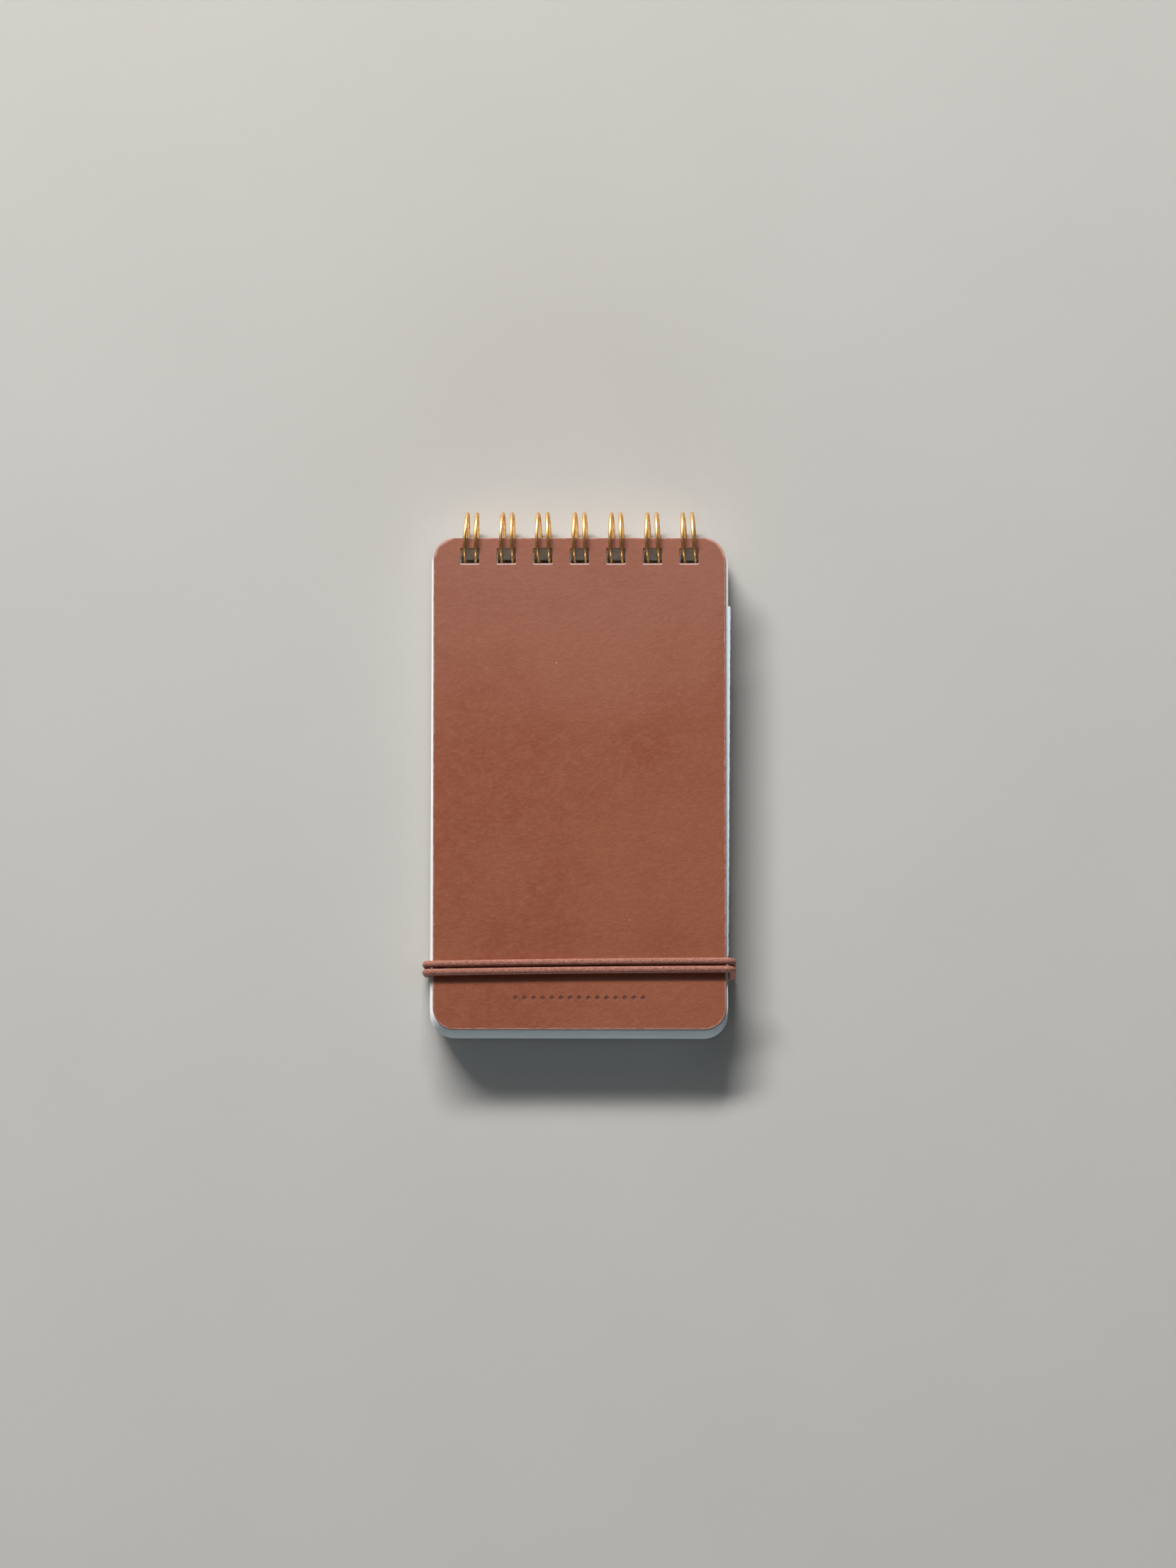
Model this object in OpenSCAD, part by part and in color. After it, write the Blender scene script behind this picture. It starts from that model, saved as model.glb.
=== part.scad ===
// Wire-bound pocket notebook, closed and lying on its back, held shut by two elastic loops.
// +X is the width, +Y points to the wire rings, +Z is up. The table is z = 0.

/* [Covers] */
// Width of each cover
cover_w = 67.6; // [50:0.1:110]
// Length of each cover, from the ring edge to the foot
cover_h = 114.1; // [80:0.1:180]
// Thickness of the cover board
cover_t = 0.6; // [0.3:0.05:1.2]
// Radius of the cover corners
cover_r = 5; // [2:0.5:8]
// Depth of the ornament pressed into the front cover
press_depth = 0.12; // [0.05:0.01:0.2]

/* [Leaves] */
// Thickness of all the leaves together
block_t = 8.2; // [5:0.1:16]
// Number of bundles that the leaves are split into
bundles = 16; // [4:1:30]
// How far the leaves stand out past the cover on each long side
leaf_over = 0.5; // [0.1:0.1:2]
// How much shorter the leaves are than the covers
leaf_less = 0.4; // [0:0.1:2]
// Radius of the leaf corners
leaf_r = 5.5; // [2:0.5:8]

/* [Holes] */
// Distance from one hole to the next, a third of an inch
hole_pitch = 8.47; // [6:0.01:14]
// Width of a hole, along the ring edge
hole_w = 4.4; // [4:0.1:6]
// Height of a hole
hole_h = 3.6; // [3:0.1:6]
// Board or paper left between a hole and the ring edge
hole_inset = 2.35; // [1:0.05:4]
// Least board or paper left between an end hole and the long side
hole_margin = 5.5; // [4:0.1:10]

/* [Binding wire] */
// Diameter of the wire
wire_d = 0.8; // [0.5:0.05:1.2]
// Distance between the two wires of a ring, centre to centre
twin_pitch = 2.2; // [1.8:0.1:2.6]
// Room between the closed pad and the inside of the rings
ring_room = 0.8; // [0.4:0.1:3]
// Clearance between the wire and the edge of each hole
hole_play = 0.17; // [0.1:0.01:0.4]
// Bend radius of the wire where a ring runs out into the spine
spine_bend = 0.9; // [0.7:0.1:1.4]

/* [Elastic loops] */
// Diameter of the elastic cord
cord_d = 1.6; // [1:0.1:2.2]
// Clearance between the two loops
cord_gap = 0.25; // [0.1:0.05:2]
// Clearance between the cord and the long edges of the leaves
side_gap = 0.3; // [0.2:0.05:1]
// Distance from the foot of the cover to the middle of the two loops
elastic_up = 14.5; // [8:0.5:60]

/* [Loose slip] */
// Width of the slip of paper under the front cover
slip_w = 62; // [30:1:66]
// Thickness of the slip
slip_t = 0.1; // [0.05:0.01:0.3]
// Distance from the ring edge of the cover to the top of the slip
slip_down = 16.4; // [8:0.1:40]
// How far the slip's top corner stands out past the leaves
slip_out = 0.75; // [0.2:0.05:1.2]
// How far the slip is turned out of square, in degrees
slip_turn = 0.45; // [0:0.05:0.6]
// Clearance between the slip and the elastic
slip_gap = 0.1; // [0.05:0.05:1]

/* [Hidden] */
$fn = 64;
leaf_w = cover_w + 2 * leaf_over;
leaf_h = cover_h - leaf_less;
bundle_t = block_t / bundles;
stack_h = 2 * cover_t + block_t + slip_t;
hole_count = floor((cover_w - 2 * hole_margin - hole_w) / hole_pitch) + 1;

// The rings are circles round one axis, which is also where every leaf turns.
ring_in = stack_h / 2 + ring_room;
ring_mid = ring_in + wire_d / 2;
ring_out = ring_in + wire_d;
axis_z = max(ring_out, stack_h / 2 + cord_d);

// Each piece hangs with its holes against the inside of the rings: reach(z) is how far
// the edge of a hole may stand from the axis when the piece reaches z above or below it.
function reach(z) = sqrt(pow(ring_in, 2) - pow(z, 2)) - hole_play;
edge_off = reach(stack_h / 2) - hole_inset;
function bundle_top(i) = block_t / 2 - slip_t / 2 - i * bundle_t;
function bundle_far(i) = max(abs(bundle_top(i)), abs(bundle_top(i) - bundle_t));
function bundle_slip(i) = reach(bundle_far(i)) - reach(stack_h / 2);
slip_most = max([for (i = [0 : bundles - 1]) bundle_slip(i)]);

// The axis stands where the whole notebook is centred on y = 0.
axis_y = (edge_off + leaf_h + slip_most - ring_out) / 2;
edge_y = axis_y - edge_off;
foot_y = edge_y - cover_h;

// The rings leave the spine at their lowest point and run round to tips that end short of it.
base_a = -90;
seam_a = 30;
tip_a = base_a + 360 - seam_a;

// The middle line of each elastic loop is a rectangle with round corners.
loop_x = leaf_w / 2 + side_gap + cord_d / 2;
loop_z = stack_h / 2 + cord_d / 2;
loop_bend = leaf_over + side_gap + cord_d / 2;
elastic_y = foot_y + elastic_up;
cord_pitch = cord_d + cord_gap;
slip_top_y = edge_y - slip_down;
slip_h = slip_top_y - (elastic_y + cord_pitch / 2 + cord_d / 2 + slip_gap);

// The pressed ornament is a row of lozenges.
ornament_up = 7.2;
lozenge_w = 1.2;
lozenge_pitch = 2.1;
lozenges = 15;

function leaf_name(i) = str("leaves_", i < 9 ? "0" : "", i + 1);

// A sheet with four round corners, its ring edge on y = 0 and its underside on z = 0.
module round_sheet(w, h, t, r) {
    translate([0, -h / 2, 0]) linear_extrude(t) union() {
        square([w - 2 * r, h], center = true);
        square([w, h - 2 * r], center = true);
        for (x = [-1, 1], y = [-1, 1]) translate([x * (w / 2 - r), y * (h / 2 - r)]) circle(r);
    }
}

module along_rings() {
    for (k = [0 : hole_count - 1]) translate([(k - (hole_count - 1) / 2) * hole_pitch, 0, 0]) children();
}

module punched_sheet(w, h, t, r) {
    difference() {
        round_sheet(w, h, t, r);
        along_rings() translate([-hole_w / 2, -hole_inset - hole_h, -1]) cube([hole_w, hole_h, t + 2]);
    }
}

module cover_board() {
    punched_sheet(cover_w, cover_h, cover_t, cover_r);
}

module front_cover() {
    color([0.60, 0.36, 0.29]) difference() {
        translate([0, edge_y, axis_z + stack_h / 2 - cover_t]) cover_board();
        translate([0, foot_y + ornament_up, axis_z + stack_h / 2 - press_depth]) ornament();
    }
}

module ornament() {
    for (k = [0 : lozenges - 1])
        translate([(k - (lozenges - 1) / 2) * lozenge_pitch, 0, 0]) rotate([0, 0, 45])
            translate([-lozenge_w / 2, -lozenge_w / 2, 0]) cube([lozenge_w, lozenge_w, 1]);
}

module back_cover() {
    color([0.55, 0.33, 0.27]) translate([0, edge_y, axis_z - stack_h / 2]) cover_board();
}

// A bundle of leaves, pulled away from the rings as far as its holes allow.
module leaves(i) {
    color([0.93, 0.92, 0.88])
        translate([0, edge_y - bundle_slip(i), axis_z + bundle_top(i) - bundle_t])
            punched_sheet(leaf_w, leaf_h, bundle_t, leaf_r);
}

// A stretch of wire bent round the ring axis.
module ring_arc(from, to) {
    rotate([90, 0, 90]) rotate([0, 0, from])
        rotate_extrude(angle = to - from) translate([ring_mid, 0]) circle(d = wire_d);
}

// Puts its children on the ring at an angle: +Y runs on along the ring and +Z points at the axis.
module on_ring(a) {
    rotate([a + 90, 0, 0]) translate([0, 0, -ring_mid]) children();
}

module wire_bend(r, sweep) {
    rotate_extrude(angle = sweep) translate([r, 0]) circle(d = wire_d);
}

// One ring: two wires side by side, joined by a round tip.
module ring() {
    for (s = [-1, 1]) translate([s * twin_pitch / 2, 0, 0]) ring_arc(base_a, tip_a);
    on_ring(tip_a) wire_bend(twin_pitch / 2, 180);
}

// The stretch of spine between two rings.
module spine_run() {
    run = hole_pitch - twin_pitch - 2 * spine_bend;
    on_ring(base_a) {
        for (s = [0, 1])
            mirror([s, 0, 0]) translate([-run / 2, 0, 0]) rotate([0, 0, 180]) wire_bend(spine_bend, 90);
        translate([-run / 2, -spine_bend, 0]) rotate([0, 90, 0]) cylinder(d = wire_d, h = run);
    }
}

module binding_wire() {
    color([0.83, 0.68, 0.42]) translate([0, axis_y, axis_z]) {
        along_rings() ring();
        for (k = [1 : hole_count - 1]) translate([(k - hole_count / 2) * hole_pitch, 0, 0]) spine_run();
    }
}

// One closed loop of cord round the pad, in the XZ plane.
module cord_loop() {
    for (s = [0, 1]) mirror([s, 0, 0]) {
        translate([loop_x, 0, -loop_z + loop_bend]) cylinder(d = cord_d, h = 2 * (loop_z - loop_bend));
        for (t = [0, 1]) mirror([0, 0, t]) translate([loop_x - loop_bend, 0, loop_z - loop_bend])
            rotate([90, 0, 0]) rotate_extrude(angle = 90) translate([loop_bend, 0]) circle(d = cord_d);
    }
    for (t = [-1, 1]) translate([-loop_x + loop_bend, 0, t * loop_z]) rotate([0, 90, 0])
        cylinder(d = cord_d, h = 2 * (loop_x - loop_bend));
}

module elastic_upper() {
    color([0.68, 0.47, 0.42]) translate([0, elastic_y + cord_pitch / 2, axis_z]) cord_loop();
}

module elastic_lower() {
    color([0.68, 0.47, 0.42]) translate([0, elastic_y - cord_pitch / 2, axis_z]) cord_loop();
}

module loose_slip() {
    color([0.84, 0.88, 0.90])
        translate([leaf_w / 2 + slip_out, slip_top_y, axis_z + bundle_top(0)]) rotate([0, 0, -slip_turn])
            translate([-slip_w, -slip_h, 0]) cube([slip_w, slip_h, slip_t]);
}

front_cover();
back_cover();
for (i = [0 : bundles - 1]) leaves(i);
binding_wire();
elastic_upper();
elastic_lower();
loose_slip();
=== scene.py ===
import math
import random

import bpy
from mathutils import Matrix, Vector


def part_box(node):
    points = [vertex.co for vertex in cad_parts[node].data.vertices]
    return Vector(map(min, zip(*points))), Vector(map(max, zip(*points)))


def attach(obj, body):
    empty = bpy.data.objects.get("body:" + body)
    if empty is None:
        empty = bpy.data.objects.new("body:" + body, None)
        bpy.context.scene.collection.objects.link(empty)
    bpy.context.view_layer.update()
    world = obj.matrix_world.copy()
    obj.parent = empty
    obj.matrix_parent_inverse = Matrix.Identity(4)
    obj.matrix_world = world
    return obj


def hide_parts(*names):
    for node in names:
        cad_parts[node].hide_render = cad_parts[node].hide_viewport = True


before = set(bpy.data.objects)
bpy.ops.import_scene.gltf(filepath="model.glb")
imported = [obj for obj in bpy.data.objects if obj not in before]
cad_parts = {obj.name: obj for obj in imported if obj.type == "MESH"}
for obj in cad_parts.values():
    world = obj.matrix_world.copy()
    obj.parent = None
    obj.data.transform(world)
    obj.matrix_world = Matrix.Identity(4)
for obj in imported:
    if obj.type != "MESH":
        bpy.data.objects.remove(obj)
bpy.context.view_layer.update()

mm = 0.001


# ---------------------------------------------------------------------------
# The table, the light and the camera. The notebook lies on a plain pale board,
# lit by a low wide window beyond its rings and a little to the left, with weak
# cool light from the room behind. The camera stands over it, towards its foot.

class Pin:
    """A socket of a material. Arithmetic on pins adds Math nodes."""

    def __init__(self, tree, socket=None):
        self.tree, self.socket = tree, socket

    def add(self, kind, settings, inputs, out=0):
        """A new node: its settings first, then its inputs, as values or as pins to link."""
        node = self.tree.nodes.new(kind)
        for name, value in settings.items():
            if name == "stops":
                ramp = node.color_ramp.elements
                while len(ramp) < len(value):
                    ramp.new(1.0)
                for stop, (place, colour) in zip(ramp, value):
                    stop.position, stop.color = place, (*colour, 1.0)
            else:
                setattr(node, name, value)
        for key, value in inputs.items():
            if isinstance(value, Pin):
                self.tree.links.new(value.socket, node.inputs[key])
            else:
                node.inputs[key].default_value = value
        return Pin(self.tree, node.outputs[out] if node.outputs else None)

    def math(self, operation, *values):
        return self.add("ShaderNodeMath", {"operation": operation}, dict(enumerate(values)))

    def __add__(self, other):
        return self.math("ADD", self, other)

    def __sub__(self, other):
        return self.math("SUBTRACT", self, other)

    def __rsub__(self, other):
        return self.math("SUBTRACT", other, self)

    def __mul__(self, other):
        return self.math("MULTIPLY", self, other)

    __radd__ = __add__
    __rmul__ = __mul__

    def step(self, low, high):
        """0 below low, 1 above high, smooth between."""
        return self.add("ShaderNodeMapRange", {"interpolation_type": "SMOOTHSTEP"},
                        {"Value": self, "From Min": low, "From Max": high})

    def mix(self, one, two):
        """Colour one where this pin is 0, colour two where it is 1."""
        one, two = ((*c, 1.0) if isinstance(c, tuple) else c for c in (one, two))
        return self.add("ShaderNodeMix", {"data_type": "RGBA"}, {0: self, 6: one, 7: two}, out=2)


def new_material(name):
    """An empty material, and a pin with the object's own coordinates in millimetres."""
    material = bpy.data.materials.new(name)
    material.use_nodes = True
    material.node_tree.nodes.clear()
    start = Pin(material.node_tree)
    place = start.add("ShaderNodeTexCoord", {}, {}, out="Object")
    return material, start.add("ShaderNodeVectorMath", {"operation": "SCALE"}, {0: place, "Scale": 1 / mm})


def noise(place, scale, detail=3.0, stretch=(1, 1, 1), roughness=0.5):
    """Noise with that many features to a millimetre, drawn out along the axes with a small stretch."""
    turned = place.add("ShaderNodeVectorMath", {"operation": "MULTIPLY"}, {0: place, 1: stretch})
    return place.add("ShaderNodeTexNoise", {}, {"Vector": turned, "Scale": scale, "Detail": detail,
                                                "Roughness": roughness})


def finish_material(place, height, distance, inputs):
    """A Principled surface, with a bump of that height field, distance in metres."""
    bump = place.add("ShaderNodeBump", {}, {"Height": height, "Distance": distance, "Strength": 1.0})
    surface = place.add("ShaderNodeBsdfPrincipled", {}, {**inputs, "Normal": bump})
    place.add("ShaderNodeOutputMaterial", {}, {"Surface": surface})


floor_side = 4.0
bpy.ops.object.select_all(action="DESELECT")
bpy.ops.mesh.primitive_plane_add(size=floor_side, location=(0, 0, 0))
table = bpy.context.object
table.name = "table"
paint, spot = new_material("pale_table")
finish_material(spot, noise(spot, 0.8), 0.00002, {
    "Base Color": noise(spot, 0.02).mix((0.47, 0.46, 0.44), (0.50, 0.49, 0.47)), "Roughness": 0.6})
table.data.materials.append(paint)

world = bpy.data.worlds.new("sky")
world.use_nodes = True
world.node_tree.nodes["Background"].inputs["Color"].default_value = (0.92, 0.95, 1.0, 1.0)
world.node_tree.nodes["Background"].inputs["Strength"].default_value = 0.035
bpy.context.scene.world = world
bpy.context.scene.view_settings.view_transform = "Standard"

lamp_far = 2.5
for name, towards, wide, tall, power, tint in (
    ("window", (-0.27, 0.80, 0.54), 1.7, 0.32, 108.0, (1.0, 0.98, 0.95)),
    ("sky_beyond", (-0.45, 0.70, 0.95), 2.6, 1.6, 5.0, (0.92, 0.96, 1.0)),
    ("room_behind", (0.10, -0.95, 0.13), 2.2, 0.5, 28.0, (0.80, 0.92, 1.0)),
    ("white_card", (-0.20, 0.80, 0.58), 6.0, 1.4, 150.0, (1.0, 0.97, 0.92)),
):
    lamp = bpy.data.lights.new(name, "AREA")
    lamp.shape, lamp.size, lamp.size_y = "RECTANGLE", wide, tall
    lamp.energy, lamp.color = power, tint
    holder = bpy.data.objects.new(name, lamp)
    holder.location = Vector(towards).normalized() * lamp_far
    holder.rotation_euler = Vector(towards).to_track_quat("Z", "Y").to_euler()
    holder.visible_camera = False
    holder.visible_diffuse = name != "white_card"      # the card is only there to be mirrored in the wire
    bpy.context.scene.collection.objects.link(holder)

view_long = 0.3622       # length of the picture's long side, on the front cover
view_far = 1.8
view_tilt = math.radians(6.0)
cover_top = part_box("front_cover")[1].z
cover_mid = (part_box("front_cover")[0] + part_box("front_cover")[1]) / 2
aim = Vector((2.0 * mm, cover_mid.y - 0.3 * mm, cover_top))
camera = bpy.data.objects.new("camera", bpy.data.cameras.new("camera"))
camera.data.lens = camera.data.sensor_width * view_far / view_long
camera.location = aim + view_far * Vector((0, -math.sin(view_tilt), math.cos(view_tilt)))
camera.rotation_euler = (view_tilt, 0, 0)
bpy.context.scene.collection.objects.link(camera)
bpy.context.scene.camera = camera


# ---------------------------------------------------------------------------
# The back cover: thin red-brown board with a leather-like paper face, die cut
# with four round corners and a row of seven holes. The rings thread its holes,
# and it stays on the table when the rest is turned.

hole_pitch = 8.47 * mm
hole_wide, hole_high = 4.4 * mm, 3.6 * mm
hole_inset = 2.35 * mm
hole_count = 7
hole_corner = 0.3 * mm
board_corner = 5.0 * mm
board_edge = 0.09 * mm
ornament_up = 7.2 * mm       # the front cover's row of pressed lozenges, above its foot
lozenge_side = 1.2 * mm
punch_depth = 0.12 * mm      # the punch rounds a hole's rim this deep,
punch_side = 0.08 * mm       # this wide at its top and sides,
punch_lip = 0.35 * mm        # and this wide at its foot side,
punch_steps = 4              # in this many steps, of which
punch_rise = 0.98            # the last ends this far up the depth


def select_only(piece):
    bpy.ops.object.select_all(action="DESELECT")
    piece.select_set(True)
    bpy.context.view_layer.objects.active = piece


def pick(piece, kind, test):
    """Selects the piece's edges or polygons that pass the test, and goes into edit mode on them."""
    select_only(piece)
    bpy.ops.object.mode_set(mode="EDIT")
    bpy.ops.mesh.select_mode(type="EDGE" if kind == "edges" else "FACE")
    bpy.ops.mesh.select_all(action="DESELECT")
    bpy.ops.object.mode_set(mode="OBJECT")
    for part in getattr(piece.data, kind):
        part.select = test(part)
    bpy.ops.object.mode_set(mode="EDIT")


def run_along(piece, edge, axis):
    """How far an edge of the piece runs along an axis: 0, 1 or 2 for x, y or z."""
    start, end = (piece.data.vertices[i].co[axis] for i in edge.vertices)
    return abs(start - end)


def slab(name, low, high, corner, rounds):
    """A flat blank between two corners of its box, with its four upright edges rounded."""
    bpy.ops.object.select_all(action="DESELECT")
    bpy.ops.mesh.primitive_cube_add(size=1, location=(low + high) / 2)
    piece = bpy.context.object
    piece.name = name
    piece.scale = high - low
    bpy.ops.object.transform_apply(location=True, rotation=True, scale=True)
    pick(piece, "edges", lambda e: run_along(piece, e, 2) > (high.z - low.z) / 2)
    bpy.ops.mesh.bevel(offset=corner, segments=rounds, affect="EDGES")
    bpy.ops.object.mode_set(mode="OBJECT")
    return piece


def apply_all(piece):
    select_only(piece)
    for modifier in list(piece.modifiers):
        bpy.ops.object.modifier_apply(modifier=modifier.name)


def cut(piece, cutters):
    """Takes the cutters out of the piece."""
    for cutter in cutters:
        knife = piece.modifiers.new("cut", "BOOLEAN")
        knife.operation, knife.object, knife.solver = "DIFFERENCE", cutter, "EXACT"
    apply_all(piece)
    for cutter in cutters:
        bpy.data.objects.remove(cutter)


def flare(punch, x, top_y):
    """Widens a punch's top end in a quarter round, and most towards the foot of the cover."""
    pick(punch, "polygons", lambda f: f.normal.z > 0.9)
    wide, tall = hole_wide, hole_high
    still = (x, top_y - tall * punch_side / (punch_side + punch_lip), 0)
    for i in range(punch_steps):
        a, b = (math.radians(90 * n / punch_steps) for n in (i, i + 1))
        out = math.cos(a) - math.cos(b)
        rise = (math.sin(b) - math.sin(a)) * punch_rise * punch_depth
        bpy.ops.mesh.extrude_region_move(TRANSFORM_OT_translate={"value": (0, 0, rise)})
        grown_wide = wide + 2 * punch_side * out
        grown_tall = tall + (punch_side + punch_lip) * out
        bpy.ops.transform.resize(value=(grown_wide / wide, grown_tall / tall, 1), center_override=still)
        wide, tall = grown_wide, grown_tall
    bpy.ops.mesh.extrude_region_move(TRANSFORM_OT_translate={"value": (0, 0, mm)})
    bpy.ops.object.mode_set(mode="OBJECT")


def hole_punches(edge_y, low_z, high_z, rounded=False):
    """One upright punch for each hole of a sheet with its ring edge at edge_y, flared if rounded."""
    punches = []
    top_z = high_z - punch_depth if rounded else high_z + mm
    for k in range(hole_count):
        x = (k - (hole_count - 1) / 2) * hole_pitch
        low = Vector((x - hole_wide / 2, edge_y - hole_inset - hole_high, low_z - mm))
        high = Vector((x + hole_wide / 2, edge_y - hole_inset, top_z))
        punch = slab("punch", low, high, hole_corner, 3)
        if rounded:
            flare(punch, x, high.y)
        punches.append(punch)
    return punches


def board(name, low, high):
    """A die-cut cover with its outer face up, rounded where the rule and the punches pressed in."""
    piece = slab(name, low, high, board_corner, 12)
    pick(piece, "polygons", lambda f: f.normal.z > 0.9)
    bpy.ops.mesh.region_to_loop()
    bpy.ops.mesh.bevel(offset=board_edge, segments=3, affect="EDGES")
    bpy.ops.object.mode_set(mode="OBJECT")
    cut(piece, hole_punches(high.y, low.z, high.z, rounded=True))
    return piece


def settle_normals(piece):
    """Smooth round the narrow edges, with the broad faces left flat."""
    select_only(piece)
    bpy.ops.object.shade_smooth_by_angle(angle=math.radians(35))
    weighted = piece.modifiers.new("weighted", "WEIGHTED_NORMAL")
    weighted.keep_sharp = True
    apply_all(piece)


def beyond(place, half):
    """How far a coordinate is past a half width, and 0 inside it."""
    far = place.math("ABSOLUTE", place) - half
    return far.math("MAXIMUM", far, 0.0)


def board_face_material():
    """Leather-like paper: red-brown, with a fine pressed grain, a few pale specks, rubbed edges and a
    painted sheen towards the rings.
    """
    material, at = new_material("cover_board_face")
    x, y = (at.add("ShaderNodeSeparateXYZ", {}, {0: at}, out=i) for i in (0, 1))
    low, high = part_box("front_cover")
    middle_y = (low.y + high.y) / 2
    cloud = noise(at, 0.04, 3.0)
    mottle = noise(at, 0.35, 4.0, roughness=0.65)
    wrinkle = noise(at, 1.1, 5.0, stretch=(0.8, 1, 1), roughness=0.65)
    grain = noise(at, 2.6, 4.0, roughness=0.7)
    colour = cloud.step(0.35, 0.65).mix((0.236, 0.056, 0.020), (0.264, 0.073, 0.030))
    colour = (mottle.step(0.40, 0.70) * 0.5).mix(colour, (0.290, 0.086, 0.038))
    colour = (wrinkle.step(0.50, 0.72) * 0.35).mix(colour, (0.320, 0.112, 0.060))
    colour = (grain.step(0.50, 0.75) * 0.35).mix(colour, (0.165, 0.038, 0.016))
    # Painted sheen: from the middle towards the ring end, the face is mixed with a paler pink that stands
    # in for the window's glare on it.
    painted_sheen = (y + cloud * 30 - 15).step(middle_y / mm, high.y / mm)
    colour = (painted_sheen * 0.5).mix(colour, (0.315, 0.128, 0.090))
    spots = at.add("ShaderNodeTexVoronoi", {"feature": "F1"}, {"Vector": at, "Scale": 0.10}, out="Distance")
    speck = (1 - spots.step(0.010, 0.020)) * noise(at, 0.07).step(0.50, 0.55)
    colour = (speck * 0.7).mix(colour, (0.60, 0.42, 0.34))
    across = beyond(x, (high.x - board_corner) / mm)
    along = beyond(y - middle_y / mm, ((high.y - low.y) / 2 - board_corner) / mm)
    inward = board_corner / mm - across.math("SQRT", across * across + along * along)
    rubbed = (across * along).step(0.5, 5.0) * y.step(0.0, 10.0) * 0.4       # at the corners by the rings
    worn = 1 - (inward - rubbed + noise(at, 0.7, 4.0) * 0.7).step(0.22, 0.75)
    colour = (worn * 0.8).mix(colour, (0.56, 0.32, 0.26))
    height = wrinkle + grain * 0.5 + mottle * 0.8 + speck * 0.3
    shine = wrinkle.step(0.2, 0.8) * 0.14 + 0.48
    finish_material(at, height, 0.00006, {
        "Base Color": colour, "Roughness": shine, "Specular IOR Level": 0.33})
    return material


def board_core_material():
    """The cut edge of the board: paler, fibrous, with the face's colour rubbed over it."""
    material, at = new_material("cover_board_core")
    fibre = noise(at, 3.0, 4.0, stretch=(1, 1, 4), roughness=0.7)
    colour = fibre.step(0.3, 0.7).mix((0.36, 0.19, 0.16), (0.54, 0.37, 0.34))
    finish_material(at, fibre, 0.00005, {"Base Color": colour, "Roughness": 0.75})
    return material


def board_pressed_material():
    """The bottom of the pressed ornament, in a darker colour than the face around it."""
    material, at = new_material("cover_board_pressed")
    fibre = noise(at, 2.0, 3.0)
    colour = fibre.mix((0.125, 0.034, 0.018), (0.165, 0.050, 0.027))
    finish_material(at, fibre, 0.00002, {"Base Color": colour, "Roughness": 0.42})
    return material


board_face = board_face_material()
board_core = board_core_material()
board_pressed = board_pressed_material()


def paint_board(piece, low, high):
    """The face material on both faces and rims, the pale core on the cut walls, and the pale core on the
    holes' foot-side lips: partly worn core, partly painted highlight where the light falls.
    """
    piece.data.materials.clear()
    piece.data.materials.append(board_face)
    piece.data.materials.append(board_core)
    piece.data.materials.append(board_pressed)
    lip_y = high.y - hole_inset - hole_high + 0.05 * mm
    for face in piece.data.polygons:
        c, n = face.center, face.normal
        by_hole = lip_y - punch_lip < c.y < lip_y and abs(c.x) < hole_pitch * hole_count / 2
        # Partly painted highlight: only the lips on the holes' foot side, which face the light, take the
        # pale core colour. The lips on the other sides keep the face colour.
        pale_lip_and_highlight = by_hole and 0.3 < abs(n.z) < 0.9999
        by_row = abs(c.y - low.y - ornament_up) < lozenge_side
        pressed = by_row and n.z > 0.1 and low.z + mm / 4 < c.z < high.z - 0.01 * mm
        face.material_index = 2 if pressed else int(abs(n.z) < 0.3 or pale_lip_and_highlight)
    settle_normals(piece)


def turn_over(piece, low, high):
    """Turns a piece over about its long middle line, so that its outer face is down."""
    piece.data.transform(Matrix.Translation((0, 0, low.z + high.z)) @ Matrix.Rotation(math.pi, 4, "Y"))


back_low, back_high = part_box("back_cover")
back_board = board("back_cover_board", back_low, back_high)
paint_board(back_board, back_low, back_high)
turn_over(back_board, back_low, back_high)
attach(back_board, "back")
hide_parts("back_cover")


# ---------------------------------------------------------------------------
# The binding wire: one brass-plated wire bent into seven twin rings and closed
# by a press. Its spine and the ring tips meet underneath. The rings lean a
# little, each its own way, as they do after use.

wire_low, wire_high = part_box("binding_wire")
wire_radius = 0.4 * mm
ring_out = (wire_high.z - wire_low.z) / 2
ring_mid = ring_out - wire_radius
axis_y, axis_z = wire_high.y - ring_out, wire_low.z + ring_out
spine_bend = 0.9 * mm
base_angle, tip_angle = math.radians(-90), math.radians(240)
# Half the distance between a ring's two wires at its far side and in the closed pad's holes. They
# stand wider apart from this angle on, for so many half turns.
twin_near, twin_far = 1.08 * mm, 1.30 * mm
twin_start, twin_stretch = math.radians(10), 1.35
# The rings tilt and lean about the place where they leave the front cover's holes.
still_y, still_z = -3.6 * mm, 4.75 * mm
ring_tilt = math.tan(math.radians(3.6))
ring_leans = (2.8, 0.1, -1.6, -1.1, -1.1, -2.0, -3.4)
stray_most = 0.66 * mm   # the most a ring strays sideways, so that the pad still turns freely
arc_steps = 64
bend_steps = 10


def on_ring(k, across, angle, along=0.0):
    """A point of ring k: across from its middle, round at that angle, and on along the tangent."""
    y = ring_mid * math.cos(angle) - along * math.sin(angle)
    z = ring_mid * math.sin(angle) + along * math.cos(angle)
    far = math.hypot(y, z)
    y, z = y * ring_mid / far, z * ring_mid / far
    lean = math.tan(math.radians(ring_leans[k])) * (y - still_y)
    stray = (still_z - z) * ring_tilt + lean
    stray /= (1 + (stray / stray_most) ** 4) ** 0.25
    return Vector(((k - (hole_count - 1) / 2) * hole_pitch + across + stray, axis_y + y, axis_z + z))


def half_twin(angle):
    """Half the distance between a ring's two wires at that angle round it."""
    share = max(0.0, math.sin((angle - twin_start) / twin_stretch)) ** 2
    return twin_near + (twin_far - twin_near) * share


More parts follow.
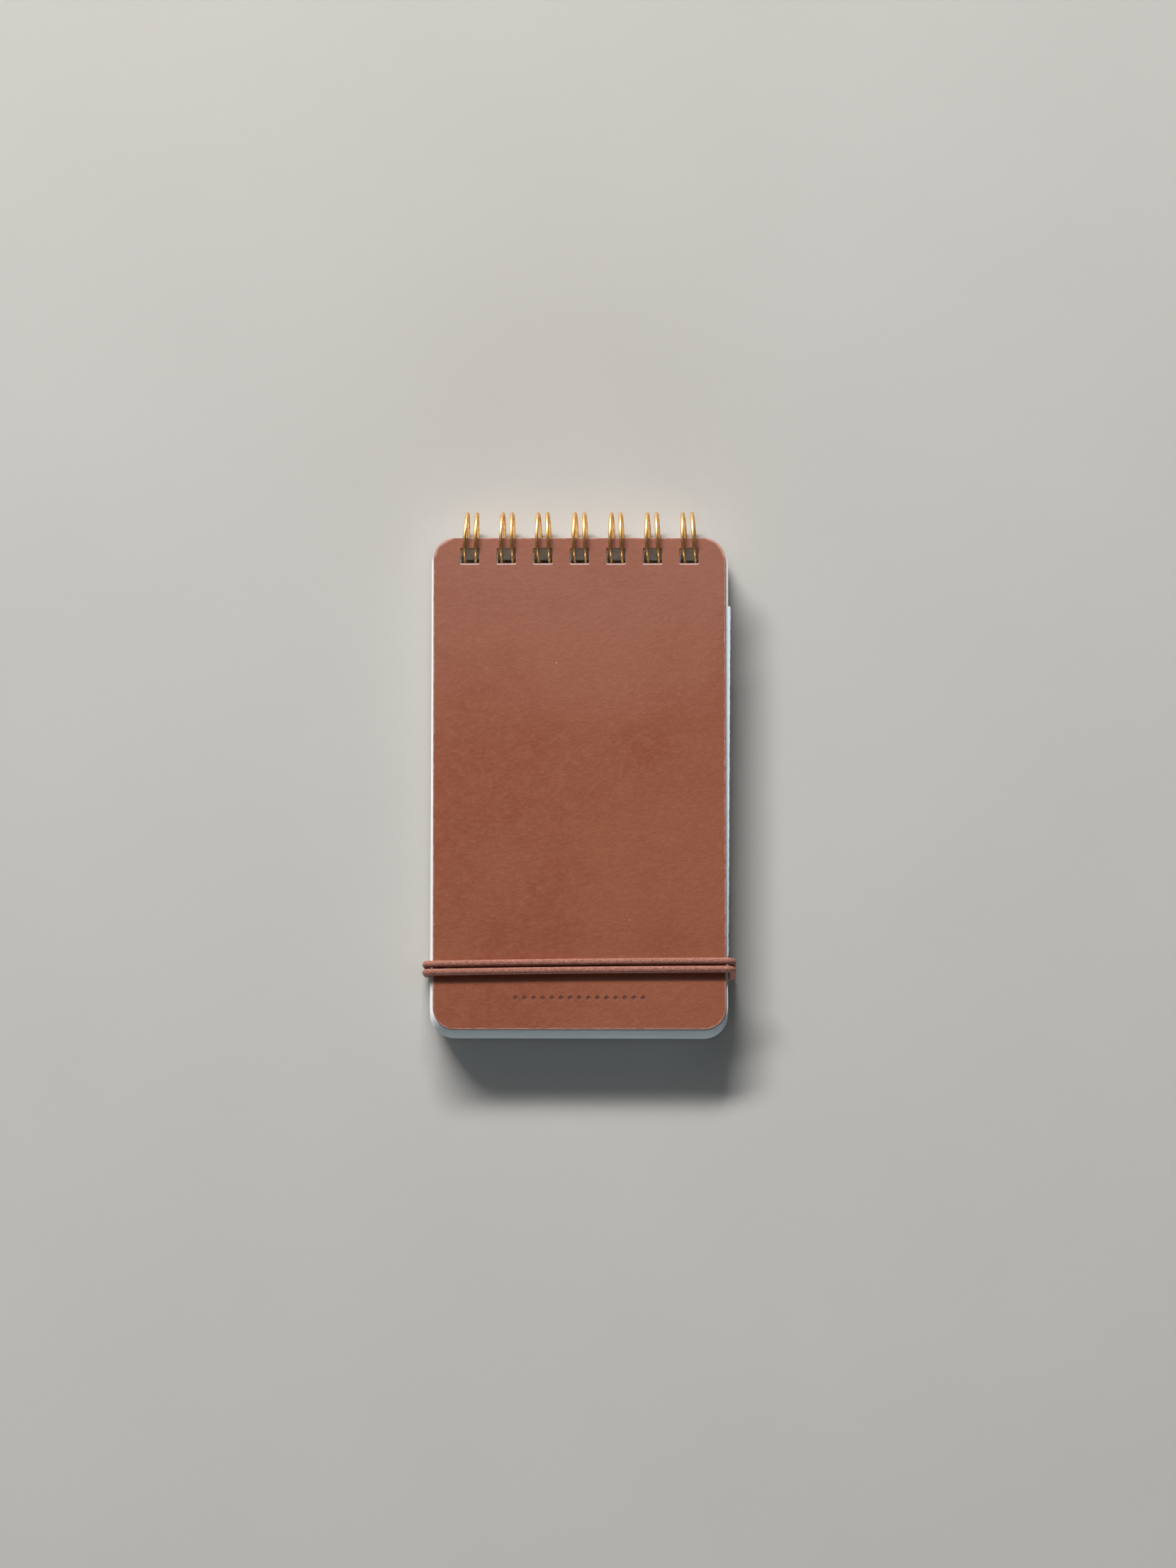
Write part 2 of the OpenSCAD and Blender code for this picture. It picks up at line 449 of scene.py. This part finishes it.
def wire_route():
    """The wire's middle line from its first cut end to its last, ring by ring."""
    route = []
    tip_half = half_twin(tip_angle)
    base_half = half_twin(base_angle)
    for k in range(hole_count):
        if k:
            for i in range(bend_steps):
                turn = math.radians(90) * (1 - i / bend_steps)
                route.append(on_ring(k, -base_half - spine_bend * (1 - math.cos(turn)), base_angle,
                                     -spine_bend * math.sin(turn)))
        for i in range(arc_steps + 1):
            angle = base_angle + (tip_angle - base_angle) * i / arc_steps
            route.append(on_ring(k, -half_twin(angle), angle))
        for i in range(1, bend_steps * 2):
            turn = math.pi * i / (bend_steps * 2)
            route.append(on_ring(k, -tip_half * math.cos(turn), tip_angle, tip_half * math.sin(turn)))
        for i in range(arc_steps + 1):
            angle = tip_angle + (base_angle - tip_angle) * i / arc_steps
            route.append(on_ring(k, half_twin(angle), angle))
        if k < hole_count - 1:
            for i in range(1, bend_steps + 1):
                turn = math.radians(90) * i / bend_steps
                route.append(on_ring(k, base_half + spine_bend * (1 - math.cos(turn)), base_angle,
                                     -spine_bend * math.sin(turn)))
    return route


def rod(name, route, radius, closed, rounds):
    """A round rod along a route, as one mesh."""
    line = bpy.data.curves.new(name, "CURVE")
    line.dimensions = "3D"
    line.bevel_depth, line.bevel_resolution = radius, rounds
    line.use_fill_caps = not closed
    spline = line.splines.new("POLY")
    spline.points.add(len(route) - 1)
    for point, place in zip(spline.points, route):
        point.co = (*place, 1.0)
    spline.use_cyclic_u = closed
    piece = bpy.data.objects.new(name, line)
    bpy.context.scene.collection.objects.link(piece)
    select_only(piece)
    bpy.ops.object.convert(target="MESH")
    piece = bpy.context.object
    bpy.ops.object.shade_smooth_by_angle(angle=math.radians(50))
    return piece


def wire_material():
    """Bright brass plating, faintly drawn along the wire, a little dulled in places."""
    material, at = new_material("brass_wire")
    dull = noise(at, 0.9, 3.0)
    scratch = noise(at, 6.0, 3.0, stretch=(3, 0.6, 0.6))
    colour = dull.step(0.35, 0.7).mix((0.80, 0.49, 0.20), (0.60, 0.34, 0.13))
    finish_material(at, scratch, 0.000004, {
        "Base Color": colour, "Metallic": 1.0, "Roughness": dull.step(0.3, 0.75) * 0.08 + 0.36})
    return material


wire = rod("wire_rings", wire_route(), wire_radius, False, 6)
wire.data.materials.append(wire_material())
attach(wire, "back")
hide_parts("binding_wire")


# ---------------------------------------------------------------------------
# The leaves: thin white paper cut with round corners and punched like the
# covers, slightly wider than them. Every leaf hangs with its holes close to the
# inside of the rings, so the pad bulges at the foot. Five leaves to a bundle.

leaf_corner = 5.5 * mm
leaf_names = sorted(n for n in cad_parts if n.startswith("leaves_"))
leaves_each = 5
leaf_share = 0.9         # of a leaf's room that is paper, and the rest is air
leaf_slack = 0.18        # of the way that a leaf could hang past the covers, it stays back this share
leaf_uneven = 0.10       # and up to this many millimetres more
leaf_turns = (-0.16, -0.11)      # degrees out of square
leaf_shifts = (0.16, 0.24)       # millimetres to the right
ring_in = ring_out - 2 * wire_radius
stack_half = (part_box("front_cover")[1].z - back_low.z) / 2
hole_play = 0.17 * mm
chance = random.Random(7)


def hang(z):
    """How far a leaf's ring edge stands from the ring axis when it reaches z from it."""
    return math.sqrt(ring_in ** 2 - z ** 2) - hole_play - hole_inset


def leaf_blank(low, high):
    """One leaf, a millimetre thick, so that its holes can be cut; it is pressed thin afterwards."""
    blank = slab("leaf_blank", Vector((low.x, low.y, 0)), Vector((high.x, high.y, mm)), leaf_corner, 10)
    cut(blank, hole_punches(high.y, 0, mm))
    return blank


def paper_material(name, face, shade, edge_tone):
    """Uncoated paper: a faint fibre on its faces and an uneven tone from one cut edge to the next."""
    material, at = new_material(name)
    cloud = noise(at, 0.12, 3.0)
    tooth = noise(at, 3.5, 3.0, roughness=0.65)
    edges = noise(at, 1.0, 2.0, stretch=(0.04, 0.04, 14))
    colour = cloud.step(0.35, 0.65).mix(face, shade)
    colour = (edges.step(0.35, 0.7) * 0.5).mix(colour, edge_tone)
    finish_material(at, tooth, 0.00002, {
        "Base Color": colour, "Roughness": 0.78, "Specular IOR Level": 0.3})
    return material


leaf_paper = paper_material("leaf_paper", (0.85, 0.86, 0.85), (0.82, 0.84, 0.84), (0.72, 0.76, 0.77))
leaf_low, leaf_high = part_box(leaf_names[0])
blank = leaf_blank(leaf_low, leaf_high)
for name in leaf_names:
    low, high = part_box(name)
    room = (high.z - low.z) / leaves_each
    copies = []
    for i in range(leaves_each):
        base_z = low.z + i * room
        far_z = max(abs(base_z - axis_z), abs(base_z + room - axis_z))
        edge_y = axis_y - hang(far_z) + leaf_slack * (hang(far_z) - hang(stack_half))
        edge_y += chance.uniform(0, leaf_uneven) * mm
        turn = Matrix.Rotation(math.radians(chance.uniform(*leaf_turns)), 4, "Z")
        place = Matrix.Translation((chance.uniform(*leaf_shifts) * mm, edge_y, base_z))
        flat = Matrix.Diagonal((1, 1, room * leaf_share / mm, 1))
        leaf = blank.copy()
        leaf.data = blank.data.copy()
        leaf.data.transform(place @ turn @ flat @ Matrix.Translation((0, -leaf_high.y, 0)))
        bpy.context.scene.collection.objects.link(leaf)
        copies.append(leaf)
    select_only(copies[0])
    for leaf in copies:
        leaf.select_set(True)
    bpy.ops.object.join()
    bundle = bpy.context.object
    bundle.name = name + "_paper"
    bundle.data.materials.clear()
    bundle.data.materials.append(leaf_paper)
    settle_normals(bundle)
    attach(bundle, name)
    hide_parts(name)
bpy.data.objects.remove(blank)


# ---------------------------------------------------------------------------
# The loose slip: a bluish-white piece of note paper pushed under the front
# cover, a little out of square, so that one long edge shows past the leaves.

slip_low, slip_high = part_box("loose_slip")
slip_turn = math.radians(0.45)
slip_wide = 62.0 * mm
slip_long = (slip_high.y - slip_low.y - slip_wide * math.sin(slip_turn)) / math.cos(slip_turn)
slip_wave, slip_wave_run = 0.11 * mm, 2.2 * mm       # how deep and how long its edge's waves are
slip_cuts = 150

slip = slab("slip_paper_sheet", Vector((-slip_wide, -slip_long, 0.01 * mm)),
            Vector((0, 0, slip_high.z - slip_low.z - 0.02 * mm)), 0.2 * mm, 2)
pick(slip, "edges", lambda e: run_along(slip, e, 1) > slip_long / 2)
bpy.ops.mesh.subdivide(number_cuts=slip_cuts)
bpy.ops.object.mode_set(mode="OBJECT")
for point in slip.data.vertices:
    share = max(0.0, 1 + point.co.x / (slip_wide / 8))
    wave = math.sin(2 * math.pi * point.co.y / slip_wave_run) + 0.6 * math.sin(point.co.y / mm * 0.9 + 1)
    point.co.x -= share * slip_wave * (1 + wave / 1.6) / 2
slip_place = Matrix.Translation((slip_high.x, slip_high.y, slip_low.z))
slip.data.transform(slip_place @ Matrix.Rotation(-slip_turn, 4, "Z"))
slip_paper = paper_material("slip_paper", (0.64, 0.74, 0.80), (0.60, 0.70, 0.77), (0.58, 0.68, 0.75))
slip.data.materials.clear()
slip.data.materials.append(slip_paper)
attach(slip, "slip")
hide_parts("loose_slip")


# ---------------------------------------------------------------------------
# The front cover: the same board as the back, with a row of small lozenges
# pressed into it near the foot.

press_depth = 0.12 * mm
lozenge_pitch, lozenge_count = 2.1 * mm, 15
lozenge_taper = 0.6      # how much narrower a lozenge is at its bottom

front_low, front_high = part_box("front_cover")
front_board = board("front_cover_board", front_low, front_high)
stamps = []
for k in range(lozenge_count):
    stamp = slab("stamp", Vector((-lozenge_side / 2, -lozenge_side / 2, 0)),
                 Vector((lozenge_side / 2, lozenge_side / 2, press_depth * 2)), 0.12 * mm, 2)
    pick(stamp, "polygons", lambda f: f.normal.z < -0.9)
    bpy.ops.transform.resize(value=(lozenge_taper, lozenge_taper, 1), center_override=(0, 0, 0))
    bpy.ops.object.mode_set(mode="OBJECT")
    x = (k - (lozenge_count - 1) / 2) * lozenge_pitch
    place = Vector((x, front_low.y + ornament_up, front_high.z - press_depth))
    stamp.data.transform(Matrix.Translation(place) @ Matrix.Rotation(math.pi / 4, 4, "Z"))
    stamps.append(stamp)
cut(front_board, stamps)
paint_board(front_board, front_low, front_high)
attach(front_board, "front")
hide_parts("front_cover")


# ---------------------------------------------------------------------------
# The elastic: two loops of round fabric-covered elastic cord, side by side
# round the whole pad near its foot. They cross the front cover a little out of
# square, and their sides slant towards the foot.

bend_points = 9          # in each of a loop's four bends
flat_points = 60         # along its front and its back
loop_slant = 0.05        # how far the cord moves to the foot for each millimetre it goes down
loop_askew = math.tan(math.radians(0.6))
loop_bow = 0.13 * mm     # how much nearer the foot the ends of the front crossing are than its middle


def loop_route(low, high):
    """The middle line of a loop that fills that box, one round-cornered turn."""
    radius = (high.y - low.y) / 2
    bend = 2 * radius
    half = Vector(((high.x - low.x) / 2 - radius, 0, (high.z - low.z) / 2 - radius))
    middle = (low + high) / 2
    route = []
    for corner, (sx, sz) in enumerate(((1, 1), (-1, 1), (-1, -1), (1, -1))):
        for i in range(bend_points + 1):
            turn = math.radians(90) * (corner + i / bend_points)
            route.append(Vector((sx * (half.x - bend) + bend * math.cos(turn), 0,
                                 sz * (half.z - bend) + bend * math.sin(turn))))
        if sx * sz > 0:
            start = route[-1]
            end = Vector((-start.x, 0, start.z))
            route += [start.lerp(end, i / flat_points) for i in range(1, flat_points)]
    for point in route:
        point.y = (point.x * loop_askew - loop_bow * (point.x / half.x) ** 2) * (point.z / half.z)
        point.y -= (half.z - point.z) * loop_slant
    return [middle + point for point in route]


def elastic_material():
    """Fuzzy fabric cord: reddish brown yarn, speckled light and dark where its fibres stand up."""
    material, at = new_material("elastic_cord")
    yarn = noise(at, 1.3, 4.0, roughness=0.7)
    fuzz = noise(at, 3.6, 4.0, roughness=0.8)
    colour = yarn.step(0.35, 0.65).mix((0.29, 0.108, 0.076), (0.37, 0.155, 0.112))
    colour = (fuzz.step(0.50, 0.66) * 0.5).mix(colour, (0.76, 0.48, 0.40))
    colour = ((1 - fuzz.step(0.32, 0.46)) * 0.7).mix(colour, (0.12, 0.038, 0.024))
    finish_material(at, fuzz + yarn * 0.5, 0.00014, {
        "Base Color": colour, "Roughness": 0.95, "Sheen Weight": 0.15, "Sheen Roughness": 0.35,
        "Sheen Tint": (1.0, 0.80, 0.74, 1.0), "Specular IOR Level": 0.15})
    return material


elastic_cloth = elastic_material()
for name in ("elastic_upper", "elastic_lower"):
    low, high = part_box(name)
    loop = rod(name + "_cord", loop_route(low, high), (high.y - low.y) / 2, True, 8)
    loop.data.materials.append(elastic_cloth)
    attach(loop, "elastic")
    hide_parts(name)
